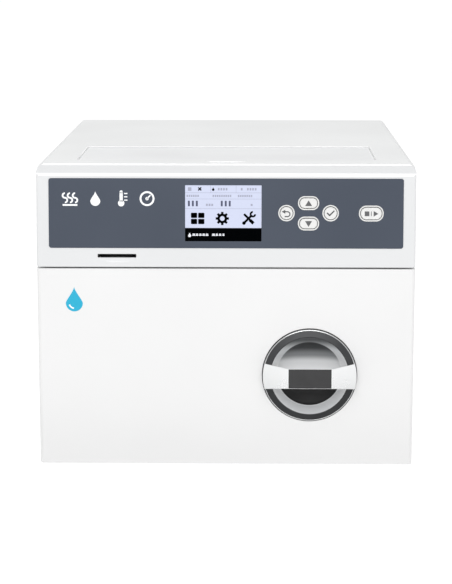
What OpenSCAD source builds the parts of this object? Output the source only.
// Benchtop steam autoclave with a side-hinged round pressure door, a turn knob lock,
// an inclined key console and a lift-off water tank lid.
// Front faces -Y, +Z is up, the origin is on the floor under the middle of the box. Millimetres.

/* [Casing] */
// Width of the sheet metal casing
case_w = 345; // [343:1:347]
// Overall height above the floor
case_h = 286; // [285:0.5:288]
// Depth from the door's face to the rear panel
case_d = 438; // [434:1:442]
// Thickness of the casing sheet
sheet_t = 1.5; // [1.2:0.1:1.6]
// Height of the rubber feet
foot_h = 10; // [9.5:0.5:10.5]

/* [Console] */
// Width of the moulded console
console_w = 345; // [344:0.5:345]
// Height of the console's bottom edge
console_z = 193.3; // [193:0.1:193.6]
// Lean of the console's face from vertical, in degrees
console_lean = 5.1; // [4.5:0.1:5.5]
// Wall thickness of the console and of the door cover
shell_t = 2.5; // [2.3:0.1:2.6]
// Travel of a key
key_travel = 0.8; // [0.5:0.1:0.9]

/* [Door] */
// Thickness of the door cover
door_t = 34; // [33.5:0.1:34.2]
// Bottom edge of the door
door_z0 = 8; // [7.5:0.5:9]
// Gap between door and console
door_gap = 1.4; // [1:0.1:1.8]
// Sideways place of the knob's axis
knob_x = 77; // [76.5:0.1:77.5]
// Height of the knob's axis
knob_z = 93; // [92:0.5:94]
// Outer radius of the knob
knob_r = 43; // [42.5:0.1:43.4]

/* [Chamber] */
// Inner radius of the chamber
chamber_r = 65; // [64:0.5:65.5]
// Wall of the chamber
chamber_t = 2.5; // [2:0.1:2.6]
// Radius of the chamber's front flange
flange_r = 84; // [83:0.5:84]
// Sideways place of the chamber's axis
chamber_x = -32; // [-33:0.5:-31]
// Height of the chamber's axis
chamber_z = 98; // [97:0.5:99]

/* [Hidden] */
$fn = 64;

// Depth stations, from the front to the back
front_y = -220;                       // door and console face
door_back_y = front_y + door_t;       // open back of the door cover
side_y = -184;                        // front edge of the casing sides
cover_y = -200.5;                     // front edge of the casing top, behind the console's bend
flange_y = -186;                      // sealing face of the chamber
panel_y = -177;                       // front face of the inner front panel
rear_y = front_y + case_d;            // outer face of the rear panel
rear_in_y = rear_y - sheet_t;         // inner face of the rear panel
back_y = 238;                         // wall spacers' ends
bar_y = -238;                         // face of the knob's grip

half_w = case_w / 2;
half_c = console_w / 2;
door_z1 = console_z - door_gap;       // top edge of the door
floor_z = foot_h + sheet_t;           // upper face of the chassis floor
corner_r = 5.5;                       // rounded top corners of the casing

// Hinge axis
hinge_x = -163.5;
hinge_y = -197;
hinge_pin_r = 3;
knuckle_z = [57, 123];                // lower ends of the two fixed knuckles
knuckle_h = 16;

// Door mechanism stations
arm_y0 = -206;                        // front face of the door arm
arm_y1 = -197;                        // back of the arm, front of the pressure disc
knob_arm_y = [-199.5, -192];          // the arm's end behind the knob
disc_y1 = -189;                       // back of the pressure disc
disc_r = 80;
seal_r = [68.5, 76.5];                // inner and outer radius of the seal's groove
shaft_r = 5;
strike_y = -190;                      // front of the lock strike
cam_y = [-185, -180];                 // the cam's two faces
cam_half = [5.5, 18];                 // half width and half length of the cam bar
pin_off = [14, 9.5];                  // interlock pin from the knob's axis
pin_r = 2.5;

// Tank lid opening in the casing's top
lid_x = 138;
lid_y = [-174, -57];
lid_t = 2.5;
lid_top = case_h - 1.2;               // the lid lies a little below the casing's top
lid_gap = 0.4;
lid_corner_r = 6;                     // its front corners, seen from above
lid_pin_r = 0.9;
lid_axis = [lid_y[1] - lid_t / 2, lid_top - lid_t / 2];
ledge_t = 5;                          // casing top with the lid's ledge below it
scoop_r = 57.9;                       // sphere that cuts the finger scoop
scoop_depth = 3.6;

// Console keys: x, height along the face, width, height, corner radius
key_list = [
    ["key_back", 55, 49.6, 15, 15, 7.49],
    ["key_up", 75, 58.7, 19.3, 12.7, 6],
    ["key_down", 75, 40.2, 19.3, 12.7, 6],
    ["key_ok", 95, 49.6, 15, 15, 7.49],
    ["key_start", 131.8, 49.4, 22.5, 14.5, 6.9]
];
ring_t = 1.2;                         // width of the raised ring round a key
key_gap = 0.7;                        // gap between ring and key
fascia_x = 161;
fascia_s = [17.5, 80.8];              // lower and upper edge along the face
window_x = [-37, 32.4];
window_s = [23.8, 74.7];
window_r = 0.5;
fascia_r = 2.2;
fascia_t = 1;
fascia_proud = 0.4;
slot_x = [-116.7, -81.5];
slot_s = [8.7, 12];

// Chamber stations
tube_end_y = 50;
dish_depth = 22;
sensor_x = chamber_x + 32;            // temperature sensor on the dished end
sensor_y = 76;
sensor_z = chamber_z - 20;
jacket_r = [71, 80];
jacket_y = [-174, 30];

// Rear fittings
fan_x = 95;
fan_z = 215;
fan_half = 40;
fan_t = 25;
inlet_x = 120;
inlet_z = 70;
spigot_x = [-30, 10];
spigot_z = 40;
spigot_r = 4;
safety_x = -60;
safety_z = 150;

// Colours
white = [0.94, 0.94, 0.94];
slate = [0.34, 0.37, 0.43];
steel = [0.75, 0.76, 0.78];
dark = [0.28, 0.28, 0.28];
black = [0.08, 0.08, 0.09];

// ---------- small helpers ----------

// Box between two corners
module block(x, y, z) {
    translate([x[0], y[0], z[0]])
        cube([x[1] - x[0], y[1] - y[0], z[1] - z[0]]);
}

// Cylinder along Y at a sideways place and height
module along_y(r, y, x, z) {
    translate([x, y[1], z])
        rotate([90, 0, 0])
            cylinder(r = r, h = y[1] - y[0]);
}

// Cylinder along X
module along_x(r, x, y, z) {
    translate([x[0], y, z])
        rotate([0, 90, 0])
            cylinder(r = r, h = x[1] - x[0]);
}

// Cylinder along Z
module along_z(r, x, y, z) {
    translate([x, y, z[0]])
        cylinder(r = r, h = z[1] - z[0]);
}

// Flat shape drawn in X and Z, made thick along Y
module slab_y(y) {
    translate([0, y[1], 0])
        rotate([90, 0, 0])
            linear_extrude(y[1] - y[0])
                children();
}

// Flat shape drawn in Y and Z, made thick along X
module slab_x(x) {
    translate([x[0], 0, 0])
        rotate([90, 0, 90])
            linear_extrude(x[1] - x[0])
                children();
}

// Turned shape: a profile of (radius, y) points revolved about an axis along Y
module turned_y(x, z, points) {
    translate([x, 0, z])
        rotate([-90, 0, 0])
            rotate_extrude()
                polygon(points);
}

// Rounded rectangle between two corners
module rounded(x, z, r) {
    translate([x[0] + r, z[0] + r])
        square([x[1] - x[0] - 2 * r, z[1] - z[0] - 2 * r]);
    for (px = [x[0] + r, x[1] - r], pz = [z[0] + r, z[1] - r])
        translate([px, pz])
            circle(r);
    translate([x[0], z[0] + r])
        square([x[1] - x[0], z[1] - z[0] - 2 * r]);
    translate([x[0] + r, z[0]])
        square([x[1] - x[0] - 2 * r, z[1] - z[0]]);
}

// Casing outline seen from the front: straight sides, rounded top corners
module case_outline(half, top, bottom, r) {
    translate([-half, bottom])
        square([2 * half, top - r - bottom]);
    translate([-half + r, bottom])
        square([2 * (half - r), top - bottom]);
    for (s = [-1, 1])
        translate([s * (half - r), top - r])
            circle(r);
}

// Frame of the leaning console face: X sideways, Z up along the face, -Y outwards
module on_face() {
    translate([0, front_y, console_z])
        rotate([-console_lean, 0, 0])
            children();
}

// Outline of one key, shrunk by d on every side
module key_outline(k, d) {
    w = k[3] / 2 - d;
    h = k[4] / 2 - d;
    r = k[5] - d;
    translate([k[1], k[2]])
        if (k[3] == k[4])
            circle(w);
        else
            rounded([-w, w], [-h, h], r);
}

// ---------- casing ----------

module base_chassis() {
    flange_h = 18;
    saddle_y = [33, 45];
    color("silver")
        difference() {
            union() {
                block([-half_w + 2, half_w - 2], [panel_y + 1, rear_in_y - 0.2], [foot_h, floor_z]);
                for (s = [-1, 1])
                    translate([s * (half_w - 2 - sheet_t / 2), 0, 0])
                        block([-sheet_t / 2, sheet_t / 2], [panel_y + 2, rear_in_y - 0.2],
                              [foot_h, foot_h + flange_h]);
                block([chamber_x - 45, chamber_x + 45], saddle_y, [foot_h, 62]);
            }
            along_y(chamber_r + chamber_t + 0.2, [0, 60], chamber_x, chamber_z);
            for (x = [-90, 0, 90], i = [0 : 5])
                block([x - 30, x + 30], [100 + 12 * i, 104 + 12 * i], [0, 20]);
        }
}

module feet() {
    foot_r = [13, 11];
    color("dimgray")
        for (x = [-138, 138], y = [-140, 180])
            translate([x, y, 0])
                cylinder(r1 = foot_r[1], r2 = foot_r[0], h = foot_h);
}

module front_panel() {
    color("gainsboro")
        difference() {
            block([-169, 169], [panel_y, panel_y + sheet_t], [floor_z, console_z - 0.5]);
            along_y(chamber_r + chamber_t + 0.5, [panel_y - 1, panel_y + 3], chamber_x, chamber_z);
            along_y(pin_r + 0.5, [panel_y - 1, panel_y + 3], knob_x + pin_off[0], knob_z + pin_off[1]);
        }
}

// Plan of the lid, up to a depth y1, with its front corners rounded
module lid_plan(grow, y1) {
    x = lid_x + grow;
    y0 = lid_y[0] - grow;
    r = lid_corner_r + grow;
    translate([-x, y0 + r])
        square([2 * x, y1 - y0 - r]);
    translate([-x + r, y0])
        square([2 * (x - r), y1 - y0]);
    for (s = [-1, 1])
        translate([s * (x - r), y0 + r])
            circle(r);
}

module outer_cover() {
    rim = 7;                          // width of the ledge under the lid
    vent_n = 9;
    color(white)
        difference() {
            union() {
                difference() {
                    slab_y([cover_y, rear_y])
                        case_outline(half_w, case_h, door_z0, corner_r);
                    slab_y([cover_y - 1, rear_y + 1])
                        case_outline(half_w - sheet_t, case_h - sheet_t, door_z0 - 1, corner_r - sheet_t);
                    block([-200, 200], [cover_y - 1, side_y], [0, case_h - corner_r]);
                }
                block([-lid_x - rim, lid_x + rim], [lid_y[0] - rim, lid_y[1] + rim],
                      [case_h - ledge_t, case_h - sheet_t]);
                block([-20, 20], [-198, lid_y[0]], [case_h - ledge_t, case_h - sheet_t]);
            }
            translate([0, 0, lid_top - lid_t - 0.1])
                linear_extrude(lid_t + 3)
                    lid_plan(lid_gap, lid_y[1] + lid_gap);
            along_x(lid_pin_r + 0.05, [-lid_x - 3.2, lid_x + 3.2], lid_axis[0], lid_axis[1]);
            block([-lid_x + 5, lid_x - 5], [lid_y[0] + 5, lid_y[1] - 5], [200, case_h + 1]);
            translate([0, lid_y[0] - lid_gap, case_h - scoop_depth + scoop_r])
                sphere(r = scoop_r);
            for (i = [0 : vent_n - 1])
                block([-200, 200], [110 + 9 * i, 113 + 9 * i], [50, 110]);
        }
}

module fan_guard() {
    for (r = [12, 20, 28])
        difference() {
            circle(r + 1);
            circle(r - 1);
        }
    for (a = [0, 90])
        rotate(a + 45)
            square([2 * 37, 2.4], center = true);
}

module rear_panel() {
    fan_hole_r = 36;
    color(white)
        union() {
            difference() {
                slab_y([rear_in_y, rear_y])
                    case_outline(half_w - sheet_t - 0.2, case_h - sheet_t - 0.2, door_z0,
                                 corner_r - sheet_t);
                along_y(fan_hole_r, [200, 230], fan_x, fan_z);
                block([inlet_x - 14, inlet_x + 14], [200, 230], [inlet_z - 24, inlet_z + 24]);
                for (x = spigot_x)
                    along_y(8.2, [200, 230], x, spigot_z);
                along_y(9.2, [200, 230], safety_x, safety_z);
                for (i = [0 : 7])
                    block([-150, -90], [200, 230], [190 + 9 * i, 194 + 9 * i]);
            }
            translate([fan_x, 0, fan_z])
                slab_y([rear_in_y, rear_y])
                    fan_guard();
        }
}

module wall_spacers() {
    color(black)
        for (x = [-150, 150], z = [30, 262])
            translate([x, back_y, z])
                rotate([90, 0, 0])
                    cylinder(r1 = 8, r2 = 10, h = back_y - rear_y);
}

module case_screws() {
    head_r = 3.4;
    head_t = 1.6;
    color(steel) {
        for (s = [-1, 1], y = [-150, 30, 200], z = [20])
            along_x(head_r, s > 0 ? [half_w, half_w + 0.4] : [-half_w - 0.4, -half_w], y, z);
        for (x = [-160, -55, 55, 160], z = [277])
            along_y(head_r, [rear_y, rear_y + head_t], x, z);
        for (x = [-75, 75])
            along_y(head_r, [rear_y, rear_y + head_t], x, 20);
        for (x = [-150, 150], z = [22, 186])
            along_y(head_r, [panel_y - head_t, panel_y], x, z);
    }
}

// ---------- console ----------

// Points of a round of radius r at corner b of a profile that runs from a through b to c
function round_at(a, b, c, r, n = 6) =
    let (u = (a - b) / norm(a - b), v = (c - b) / norm(c - b), half = acos(u * v) / 2,
         mid = b + (u + v) / norm(u + v) * r / sin(half),
         from = b + u * r / tan(half) - mid, to = b + v * r / tan(half) - mid)
    [for (i = [0 : n])
        let (way = from * (1 - i / n) + to * i / n)
            mid + way / norm(way) * r];

module console_shell() {
    lean_top = [front_y + 7.5, 277.3];
    top_y = -204.5;
    t = shell_t;
    foot = [front_y, console_z];
    bend = [top_y, case_h];
    back = [side_y, case_h];
    color(white)
        difference() {
            intersection() {
                slab_x([-half_c, half_c])
                    polygon(concat(
                        [foot], round_at(foot, lean_top, bend, 6), round_at(lean_top, bend, back, 5),
                        [back, [side_y, console_z]]));
                slab_y([front_y - 1, side_y + 1])
                    case_outline(half_c, case_h, console_z, corner_r + 2);
            }
            intersection() {
                slab_x([-half_c + t, half_c - t])
                    polygon([[front_y + t + 0.2, console_z + t],
                             [lean_top[0] + t, lean_top[1] - 1],
                             [top_y + 1, case_h - t - 0.6],
                             [side_y + 1, case_h - t - 0.6],
                             [side_y + 1, console_z + t]]);
                slab_y([front_y - 1, side_y + 2])
                    case_outline(half_c - t, case_h - t - 0.6, console_z + t, corner_r);
            }
            block([-200, 200], [cover_y, side_y + 1], [case_h - corner_r - 0.2, case_h + 1]);
            on_face() {
                slab_y([-1, fascia_t - fascia_proud])
                    rounded([-fascia_x, fascia_x], fascia_s, fascia_r);
                slab_y([-2, 5])
                    rounded([window_x[0] + 1, window_x[1] - 1], [window_s[0] + 1, window_s[1] - 1], 1);
                for (k = key_list)
                    slab_y([-2, 6])
                        key_outline(k, ring_t);
                slab_y([-2, 6])
                    rounded(slot_x, slot_s, 0.6);
            }
        }
}

module fascia() {
    color(slate)
        on_face()
            difference() {
                slab_y([-fascia_proud, fascia_t - fascia_proud])
                    rounded([-fascia_x, fascia_x], fascia_s, fascia_r);
                slab_y([-2, 2])
                    rounded(window_x, window_s, window_r);
                for (k = key_list)
                    slab_y([-2, 2])
                        key_outline(k, 0);
            }
}

module display_window() {
    color("lightblue")
        on_face()
            slab_y([-fascia_proud, fascia_t - fascia_proud])
                rounded(window_x, window_s, window_r);
}

module display_module() {
    color("darkslategray")
        on_face()
            union() {
                block([-41, 36.4], [shell_t + 0.6, 7.5], [19, 77.5]);
                block([-36, 31.4], [7.5, 9], [26, 70]);
                block([-30, 0], [9, 12], [30, 40]);
            }
}

module key_rings() {
    color(white)
        on_face()
            for (k = key_list)
                slab_y([-fascia_proud - 0.5, fascia_t - fascia_proud])
                    difference() {
                        key_outline(k, 0.02);
                        key_outline(k, ring_t);
                    }
}

module key(i) {
    k = key_list[i];
    color(white)
        on_face() {
            slab_y([-fascia_proud - 1, 3.6])
                key_outline(k, ring_t + key_gap);
            slab_y([3.2, 4.2])
                key_outline(k, ring_t - 0.8);
        }
}

module key_board() {
    color("darkgreen")
        on_face()
            union() {
                block([42, 150], [8, 9.6], [27, 72]);
                for (k = key_list)
                    translate([k[1], 0, k[2]])
                        block([-3, 3], [5.6, 8.2], [-3, 3]);
                block([60, 90], [9.6, 15], [29, 33]);
            }
}

module card_reader() {
    color(black)
        on_face()
            difference() {
                block([slot_x[0] - 2, slot_x[1] + 2], [shell_t + 0.4, 30], [slot_s[0] - 2, slot_s[1] + 2]);
                block(slot_x, [0, 26], slot_s);
            }
}

// ---------- water tanks and lid ----------

module tank_lid() {
    color(white)
        difference() {
            union() {
                translate([0, 0, lid_top - lid_t])
                    linear_extrude(lid_t)
                        lid_plan(0, lid_axis[0]);
                along_x(lid_t / 2, [-lid_x, lid_x], lid_axis[0], lid_axis[1]);
                along_x(lid_pin_r, [-lid_x - 3, lid_x + 3], lid_axis[0], lid_axis[1]);
            }
            block([-lid_x + 8, lid_x - 8], [lid_y[0] + 8, lid_y[1] - 8], [0, lid_top - lid_t + 0.8]);
        }
}

// One tank: side is 1 for the clean water tank on the right, -1 for the used water tank
module tank(side) {
    t = 2.5;
    x = side > 0 ? [1.5, 131] : [-131, -1.5];
    y = [-167, -64];
    z = [197, 275];
    neck_x = side * 66;
    neck_y = -115;
    difference() {
        union() {
            block(x, y, z);
            along_z(19, neck_x, neck_y, [z[1] - 1, z[1] + 3]);
        }
        block([x[0] + t, x[1] - t], [y[0] + t, y[1] - t], [z[0] + t, z[1] - t]);
        along_z(16, neck_x, neck_y, [z[1] - 10, z[1] + 10]);
    }
}

module tank_caps() {
    color("steelblue")
        for (s = [-1, 1])
            translate([s * 66, -115, 0])
                difference() {
                    union() {
                        along_z(21, 0, 0, [278, 280.5]);
                        along_z(15.6, 0, 0, [272, 278.5]);
                        block([-14, 14], [-2, 2], [280, 282.6]);
                    }
                    along_z(13, 0, 0, [270, 278]);
                }
}

// ---------- pressure chamber ----------

function dish(r, depth) = [for (a = [0 : 10 : 90]) [r * cos(a), tube_end_y + depth * sin(a)]];
function reversed(list) = [for (i = [len(list) - 1 : -1 : 0]) list[i]];

// Flange, shell, dished end and steam port, with a weld's gap between them
module chamber() {
    outer_r = chamber_r + chamber_t;
    port_y = 40;
    weld = 0.1;
    color(steel) {
        turned_y(chamber_x, chamber_z, [
            [chamber_r, flange_y], [flange_r, flange_y], [flange_r, panel_y], [chamber_r, panel_y]]);
        turned_y(chamber_x, chamber_z, [
            [chamber_r, panel_y + weld], [outer_r, panel_y + weld], [outer_r, tube_end_y - weld],
            [chamber_r, tube_end_y - weld]]);
        union() {
            turned_y(chamber_x, chamber_z, concat(
                dish(outer_r, dish_depth), reversed(dish(chamber_r, dish_depth - chamber_t))));
            along_y(6, [tube_end_y + dish_depth - 1, tube_end_y + dish_depth + 14], chamber_x, chamber_z);
            along_y(7, [sensor_y - 12, sensor_y], sensor_x, sensor_z);
        }
        along_z(6, chamber_x, port_y, [chamber_z + outer_r + weld, chamber_z + outer_r + 18]);
    }
}

module chamber_heater() {
    r = chamber_r + chamber_t + 0.2;
    y = [-70, 10];
    color("goldenrod")
        union() {
            difference() {
                along_y(r + 3, y, chamber_x, chamber_z);
                along_y(r, [y[0] - 1, y[1] + 1], chamber_x, chamber_z);
            }
        }
}

module insulation_jacket() {
    color("whitesmoke")
        difference() {
            along_y(jacket_r[1], jacket_y, chamber_x, chamber_z);
            along_y(jacket_r[0], [jacket_y[0] - 1, jacket_y[1] + 1], chamber_x, chamber_z);
        }
}

// Tray levels: height of each tray's underside above the chamber's axis
tray_levels = [-24, 6];
tray_y = [-165, 35];
tray_half = 46;

module tray_rack() {
    y = [-168, 38];
    side_x = 48.6;
    t = 1.4;
    color("lightgray")
        translate([chamber_x, 0, chamber_z])
            union() {
                for (s = [-1, 1]) {
                    for (z = tray_levels) {
                        block([min(s * side_x, s * 42), max(s * side_x, s * 42)], y, [z - 1.4, z - 0.2]);
                        block([s * (side_x + t / 2) - t / 2, s * (side_x + t / 2) + t / 2], y,
                              [z - 1.4, z + 8]);
                    }
                    for (py = [y[0], -70, y[1] - 10])
                        block([s * (side_x + t / 2) - t / 2, s * (side_x + t / 2) + t / 2],
                              [py, py + 10], [-32, 20]);
                    along_y(2, y, s * 36.5, -51);
                    for (py = [y[0], y[1] - 10])
                        block([s * 36.5 - 1, s * 36.5 + 1], [py, py + 10], [-51, -31]);
                }
                for (py = [y[0], y[1] - 10])
                    block([-side_x - t, side_x + t], [py, py + 10], [-32, -30.6]);
            }
}

module instrument_trays() {
    t = 1;
    h = 10;
    color("silver")
        translate([chamber_x, 0, chamber_z])
            for (z = tray_levels)
                difference() {
                    block([-tray_half, tray_half], tray_y, [z, z + h]);
                    block([-tray_half + t, tray_half - t], [tray_y[0] + t, tray_y[1] - t],
                          [z + t, z + h + 1]);
                    for (i = [0 : 5], j = [0 : 10])
                        along_z(3, -37.5 + 15 * i, -150 + 17 * j, [z - 1, z + t + 1]);
                }
}

module chamber_sensor() {
    color(steel)
        union() {
            along_y(8, [sensor_y, sensor_y + 7], sensor_x, sensor_z);
            along_y(4, [sensor_y + 6, sensor_y + 18], sensor_x, sensor_z);
        }
}

// ---------- inner works ----------

module steam_generator() {
    x = 118;
    y = 40;
    color("silver")
        union() {
            along_z(32, x, y, [floor_z + 12, 140]);
            along_z(37, x, y, [floor_z, floor_z + 13]);
            along_z(35, x, y, [136, 144]);
            along_z(7, x, y, [143, 156]);
        }
}

module water_pump() {
    color("tan")
        union() {
            block([70, 150], [100, 140], [floor_z, 16]);
            along_x(16, [78, 140], 120, 34);
            block([85, 120], [102, 138], [15, 52]);
        }
}

module vacuum_pump() {
    color("slategray")
        union() {
            block([-160, -20], [105, 185], [floor_z, 18]);
            along_x(34, [-155, -80], 145, 54);
            block([-82, -28], [108, 182], [17, 92]);
            block([-70, -38], [112, 178], [90, 112]);
        }
}

module condenser() {
    x = [50, 140];
    z = [170, 260];
    color("peru")
        union() {
            for (i = [0 : 8])
                block([x[0] + 11 * i, x[0] + 11 * i + 2], [140, 186], z);
            for (i = [0 : 3])
                along_x(4, [x[0] - 4, x[1] + 2], 163, z[0] + 12 + 22 * i);
        }
}

module fan_frame() {
    y = [rear_in_y - fan_t, rear_in_y];
    color(black)
        difference() {
            union() {
                difference() {
                    block([fan_x - fan_half, fan_x + fan_half], y, [fan_z - fan_half, fan_z + fan_half]);
                    along_y(37.5, [y[0] - 1, y[1] + 1], fan_x, fan_z);
                }
                along_y(13, [y[0], y[0] + 4], fan_x, fan_z);
                translate([fan_x, 0, fan_z])
                    slab_y([y[0], y[0] + 3])
                        for (a = [45, 135])
                            rotate(a)
                                square([78, 5], center = true);
            }
            along_y(2.05, [y[0] - 1, y[0] + 5], fan_x, fan_z);
        }
}

module fan_rotor() {
    y = [rear_in_y - fan_t + 5, rear_in_y - 3];
    color("darkslategray")
        union() {
            along_y(15, y, fan_x, fan_z);
            along_y(2, [rear_in_y - fan_t + 0.5, y[0] + 1], fan_x, fan_z);
            for (i = [0 : 6])
                translate([fan_x, (y[0] + y[1]) / 2, fan_z])
                    rotate([0, i * 360 / 7, 0])
                        translate([24, 0, 0])
                            rotate([38, 0, 0])
                                cube([22, 1.6, 19], center = true);
        }
}

module solenoid_valves() {
    color("gold")
        for (y = [-120, -85, -50])
            union() {
                block([105, 140], [y - 11, y + 11], [floor_z, 36]);
                block([110, 136], [y - 14, y + 14], [35, 74]);
                along_x(5, [96, 150], y, 24);
            }
}

// Pipe through a list of points, with a round elbow fitting at each corner
module pipe(points, r) {
    for (i = [0 : len(points) - 2]) {
        d = points[i + 1] - points[i];
        length = norm(d);
        translate(points[i])
            rotate([0, acos(d[2] / length), atan2(d[1], d[0])])
                cylinder(r = r, h = length);
    }
    for (i = [1 : len(points) - 2])
        translate(points[i])
            cube(r * 2.8, center = true);
}

module pipework() {
    color("peru") {
        pipe([[118, 40, 156], [118, 40, 200], [chamber_x, 40, 200], [chamber_x, 40, 183.5]], 3);
        pipe([[chamber_x, 86, chamber_z], [chamber_x, 97, chamber_z], [35, 97, chamber_z],
              [35, 97, 182], [35, 163, 182], [46, 163, 182]], 3);
        pipe([[46, 163, 248], [0, 163, 248], [0, 163, 130], [-54, 163, 130], [-54, 163, 112]], 3);
    }
}

module air_filter() {
    color("white")
        union() {
            along_y(28, [-138, -116], 128, 146);
            along_y(20, [-144, -110], 128, 146);
            along_y(4, [-156, -98], 128, 146);
        }
}

module safety_valve() {
    color("goldenrod")
        difference() {
            union() {
                along_y(9, [198, rear_y + 5], safety_x, safety_z);
                along_y(12, [rear_in_y - 6, rear_in_y], safety_x, safety_z);
                along_y(6, [186, 200], safety_x, safety_z);
            }
            along_y(3, [rear_y - 14, rear_y + 6], safety_x, safety_z);
        }
}

module safety_valve_ring() {
    color(steel)
        union() {
            along_y(2.9, [rear_y - 8, rear_y + 8], safety_x, safety_z);
            along_y(5, [rear_y + 6, rear_y + 8], safety_x, safety_z);
            translate([safety_x, rear_y + 12.6, safety_z])
                rotate([0, 90, 0])
                    rotate_extrude()
                        translate([5, 0])
                            circle(r = 1, $fn = 24);
        }
}

module control_board() {
    y = [-50, 110];
    color("darkgreen")
        union() {
            block([-150, 20], y, [206, 208]);
            block([-140, -110], [-30, 10], [207, 222]);
            block([-90, -60], [20, 50], [207, 216]);
            block([-40, 0], [-30, 0], [207, 230]);
            for (x = [-120, -70, -20])
                along_z(8, x, 85, [207, 232]);
        }
}

module power_supply() {
    x = -158;
    color("seagreen")
        union() {
            block([x, x + 2], [-110, 60], [30, 150]);
            block([x + 1, x + 34], [-90, -50], [50, 90]);
            block([x + 1, x + 26], [-30, 30], [60, 130]);
            for (z = [55, 85, 115])
                along_x(10, [x + 1, x + 30], 45, z);
        }
}

module mains_inlet() {
    z0 = inlet_z - 24;
    lip = 3;
    color(black)
        difference() {
            union() {
                block([inlet_x - 13.7, inlet_x + 13.7], [185, rear_y + 1], [z0 + 0.3, inlet_z + 23.7]);
                slab_y([rear_y, rear_y + 2.5])
                    rounded([inlet_x - 14 - lip, inlet_x + 14 + lip], [z0 - lip, inlet_z + 24 + lip], 3);
            }
            block([inlet_x - 11, inlet_x + 11], [204, rear_y + 4], [z0 + 2, z0 + 20]);
            block([inlet_x - 8, inlet_x + 8], [206, rear_y + 4], [z0 + 30, z0 + 44]);
        }
}

module power_rocker() {
    half_h = 5.7;
    color("firebrick")
        translate([inlet_x, rear_y - 2, inlet_z + 13])
            slab_x([-7.4, 7.4])
                polygon([[-4, -3], [-4, 3], [0.6, half_h], [2.4, half_h], [3, 0], [4.6, -half_h],
                         [1.4, -half_h]]);
}

module drain_couplings() {
    color(steel)
        for (x = spigot_x)
            union() {
                along_y(8, [204, rear_y + 3], x, spigot_z);
                along_y(10, [rear_y, rear_y + 3.5], x, spigot_z);
                along_y(spigot_r, [rear_y + 3, rear_y + 18], x, spigot_z);
            }
}

// ---------- hinge and lock on the casing ----------

module hinge_bracket() {
    color(steel)
        difference() {
            union() {
                block([-168, -140], [panel_y - 3, panel_y], [55, 141]);
                for (z = knuckle_z) {
                    along_z(6, hinge_x, hinge_y, [z, z + knuckle_h]);
                    block([hinge_x - 3, hinge_x + 3], [hinge_y, panel_y - 1], [z, z + knuckle_h]);
                }
            }
            for (z = knuckle_z)
                along_z(hinge_pin_r + 0.02, hinge_x, hinge_y, [z - 1, z + knuckle_h + 1]);
            for (z = [65, 131])
                along_y(2.6, [panel_y - 4, panel_y + 1], -147, z);
        }
}

module hinge_pin() {
    z = [knuckle_z[0] - 2, knuckle_z[1] + knuckle_h + 0.5];
    color(steel)
        union() {
            along_z(hinge_pin_r, hinge_x, hinge_y, z);
            along_z(4.5, hinge_x, hinge_y, [z[1], z[1] + 2.5]);
        }
}

module lock_strike() {
    half_x = 23.5;
    half_z = 24;
    leg = 3;
    color(steel)
        translate([knob_x, 0, knob_z])
            difference() {
                block([-half_x, half_x], [strike_y, panel_y], [-half_z, half_z]);
                block([-half_x + leg, half_x - leg], [strike_y + 4, panel_y + 1],
                      [-half_z - 1, half_z + 1]);
                block([-cam_half[0] - 1.5, cam_half[0] + 1.5], [strike_y - 1, panel_y],
                      [-cam_half[1] - 2, cam_half[1] + 2]);
            }
}

module lock_solenoid() {
    x = knob_x + pin_off[0];
    z = knob_z + pin_off[1];
    y0 = panel_y + sheet_t;
    color("dimgray")
        difference() {
            union() {
                block([x - 12, x + 12], [y0, y0 + 30], [z - 12, z + 12]);
                block([x - 16, x + 16], [y0, y0 + 2], [z - 14, z + 14]);
            }
            along_y(pin_r + 0.05, [y0 - 1, y0 + 27], x, z);
        }
}

module lock_plunger() {
    color(steel)
        along_y(pin_r, [panel_y + 0.2, panel_y + 22], knob_x + pin_off[0], knob_z + pin_off[1]);
}

// ---------- door ----------

module door_cover() {
    t = shell_t;
    z = [door_z0, door_z1];
    boss_z = [z[0] + 7, z[1] - 7];
    color(white)
        difference() {
            union() {
                difference() {
                    block([-half_w, half_w], [front_y, door_back_y], z);
                    block([-half_w + t, half_w - t], [front_y + t, door_back_y + 1], [z[0] + t, z[1] - t]);
                }
                for (x = [-162, 0, 162], bz = boss_z)
                    along_y(4.6, [front_y + 1, door_back_y - 2], x, bz);
                for (x = [-120, 24], bz = [84, 112])
                    along_y(5, [front_y + 1, arm_y0], x, bz);
            }
            along_y(knob_r + 0.7, [front_y - 1, front_y + 10], knob_x, knob_z);
            for (kz = knuckle_z)
                block([-half_w - 1, hinge_x + 4], [hinge_y - 7.5, door_back_y + 1],
                      [kz - 1, kz + knuckle_h + 1]);
        }
}

module door_liner() {
    y = [door_back_y - 2, door_back_y - 0.5];
    color("gainsboro")
        difference() {
            block([-half_w + 2.7, half_w - 2.7], y, [door_z0 + 2.7, door_z1 - 2.7]);
            along_y(disc_r + 1.5, [y[0] - 1, y[1] + 1], chamber_x, chamber_z);
            block([knob_x - 26, knob_x + 26], [y[0] - 1, y[1] + 1], [knob_z - 26.5, knob_z + 26.5]);
            for (kz = knuckle_z)
                block([-half_w, hinge_x + 6], [y[0] - 1, y[1] + 1], [kz - 1, kz + knuckle_h + 1]);
            for (x = [-162, 0, 162], z = [door_z0 + 7, door_z1 - 7])
                along_y(1.8, [y[0] - 1, y[1] + 1], x, z);
        }
}

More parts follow.
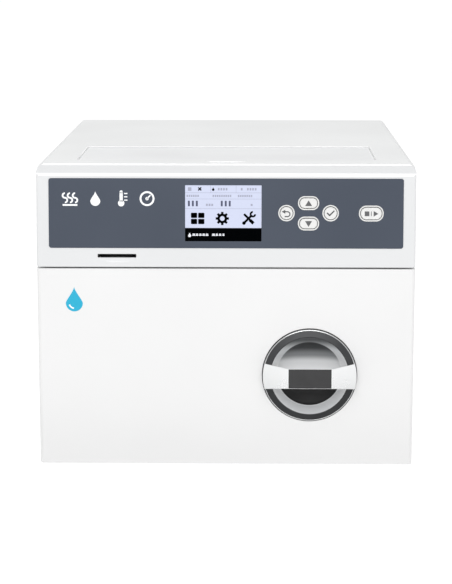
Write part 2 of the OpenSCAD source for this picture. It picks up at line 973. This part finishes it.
module pressure_door() {
    g = 3;                            // depth of the seal's groove
    plug_y = flange_y - 0.6;
    color(steel)
        union() {
            turned_y(chamber_x, chamber_z, [
                [0, plug_y], [58, plug_y], [62, disc_y1], [seal_r[0], disc_y1],
                [seal_r[0], disc_y1 - g], [seal_r[1], disc_y1 - g], [seal_r[1], disc_y1],
                [disc_r, disc_y1 - 0.8], [disc_r, arm_y1 + 1], [disc_r - 2, arm_y1], [0, arm_y1]]);
            along_y(shaft_r, [arm_y0 - 8, arm_y1 + 1], chamber_x, chamber_z);
        }
}

module door_gasket() {
    c = 0.1;
    r0 = seal_r[0] + c;
    r1 = seal_r[1] - c;
    lip_y = flange_y - 0.2;
    color("lightyellow")
        turned_y(chamber_x, chamber_z, [
            [r0, disc_y1 - 3], [r1, disc_y1 - 3], [r1, lip_y - 1], [r1 - 1, lip_y],
            [r0 + 1.6, lip_y], [r0, lip_y - 1.6]]);
}

module door_arm() {
    color(steel)
        difference() {
            union() {
                slab_y([arm_y0, arm_y1])
                    polygon([[hinge_x, 78], [-100, 70], [-60, 66], [0, 66], [53.8, 74], [53.8, 114],
                             [0, 130], [-60, 130], [-100, 126], [hinge_x, 118]]);
                // Set back behind the knob's bowl, where it carries the lock shaft
                slab_y(knob_arm_y)
                    polygon([[49.5, 74], [93, 78], [93, 108], [49.5, 114]]);
                along_z(5, hinge_x, hinge_y, [74, 122]);
                along_y(12, [knob_arm_y[0], knob_arm_y[1] + 1], knob_x, knob_z);
            }
            along_z(hinge_pin_r + 0.05, hinge_x, hinge_y, [70, 126]);
            along_y(shaft_r + 0.05, [arm_y0 - 1, arm_y1 + 6], knob_x, knob_z);
            along_y(shaft_r + 0.2, [arm_y0 - 1, arm_y1 + 6], chamber_x, chamber_z);
        }
}

module door_fasteners() {
    color(steel) {
        difference() {
            translate([chamber_x, arm_y0, chamber_z])
                rotate([90, 0, 0])
                    cylinder(r = 9.8, h = 6, $fn = 6);
            along_y(shaft_r + 0.05, [arm_y0 - 8, arm_y0 + 1], chamber_x, chamber_z);
        }
        for (x = [-162, 0, 162], z = [door_z0 + 7, door_z1 - 7])
            along_y(3.2, [door_back_y - 0.5, door_back_y + 0.9], x, z);
    }
}

// ---------- knob ----------

function bowl(r, y_rim, y_mid) =
    [for (i = [0 : 9]) [r * cos(10 * i), y_rim + (y_mid - y_rim) * sin(10 * i)]];

dish_back_y = -202;

module knob_dish() {
    color("gray")
        difference() {
            turned_y(knob_x, knob_z, concat(
                [[0, dish_back_y], [21, dish_back_y], [22.5, -207], [30, -207.2], [41.7, -212],
                 [knob_r, -213],
                 [knob_r, -220.6], [knob_r - 1, -221.6], [36.8, -224], [35.8, -224]],
                bowl(29.8, -214.6, dish_back_y - 3.3)));
            along_y(shaft_r + 0.02, [dish_back_y - 1.5, dish_back_y + 1], knob_x, knob_z);
        }
}

// Bar's cross section at a sideways place: front, back and half height
module bar_section(x, y, h) {
    translate([x - 0.05, y[0], -h])
        cube([0.1, y[1] - y[0], 2 * h]);
}

bar_mid = 19.8;
bar_half_h = 8.7;
insert_t = 1.2;
insert_rim = 0.3;

module knob_bar() {
    mid = [bar_y, bar_y + 7.5];
    end = [-226.8, -219];
    color(steel)
        difference() {
            intersection() {
                translate([knob_x, 0, knob_z]) {
                    hull() {
                        bar_section(-bar_mid, mid, bar_half_h);
                        bar_section(bar_mid, mid, bar_half_h);
                    }
                    for (s = [-1, 1])
                        hull() {
                            bar_section(s * bar_mid, mid, bar_half_h);
                            bar_section(s * 44, end, 12.2);
                        }
                }
                along_y(knob_r, [bar_y - 1, front_y + 2], knob_x, knob_z);
            }
            turned_y(knob_x, knob_z, [
                [0, -218], [30, -218], [35.8, -224], [36.8, -224], [knob_r - 1, -221.6],
                [knob_r, -220.6], [knob_r + 1, -220.6], [knob_r + 1, -210], [0, -210]]);
            translate([knob_x, 0, knob_z])
                block([-bar_mid, bar_mid], [bar_y - 1, bar_y + insert_t],
                      [-bar_half_h + insert_rim, bar_half_h - insert_rim]);
        }
}

module knob_insert() {
    c = 0.05;
    color(dark)
        translate([knob_x, 0, knob_z])
            block([-bar_mid + c, bar_mid - c], [bar_y + 0.1, bar_y + insert_t],
                  [-bar_half_h + insert_rim + c, bar_half_h - insert_rim - c]);
}

module lock_shaft() {
    color(steel)
        union() {
            along_y(shaft_r, [dish_back_y - 1.5, cam_y[1]], knob_x, knob_z);
            translate([knob_x, 0, knob_z])
                slab_y(cam_y)
                    rounded([-cam_half[0], cam_half[0]], [-cam_half[1], cam_half[1]], 3);
        }
}

// ---------- nodes ----------

base_chassis();
feet();
front_panel();
outer_cover();
rear_panel();
wall_spacers();
console_shell();
fascia();
display_window();
display_module();
key_rings();
key(0);  // key_back
key(1);  // key_up
key(2);  // key_down
key(3);  // key_ok
key(4);  // key_start
key_board();
card_reader();
tank_lid();
color("aliceblue") tank(1);  // clean_water_tank
color("lightgray") tank(-1);  // used_water_tank
tank_caps();
chamber();
chamber_heater();
insulation_jacket();
tray_rack();
instrument_trays();
steam_generator();
water_pump();
vacuum_pump();
condenser();
fan_frame();
fan_rotor();
solenoid_valves();
pipework();
air_filter();
safety_valve();
safety_valve_ring();
control_board();
power_supply();
mains_inlet();
power_rocker();
drain_couplings();
case_screws();
hinge_bracket();
hinge_pin();
lock_strike();
lock_solenoid();
lock_plunger();
door_cover();
door_liner();
pressure_door();
door_gasket();
door_arm();
door_fasteners();
knob_dish();
knob_bar();
knob_insert();
lock_shaft();
chamber_sensor();
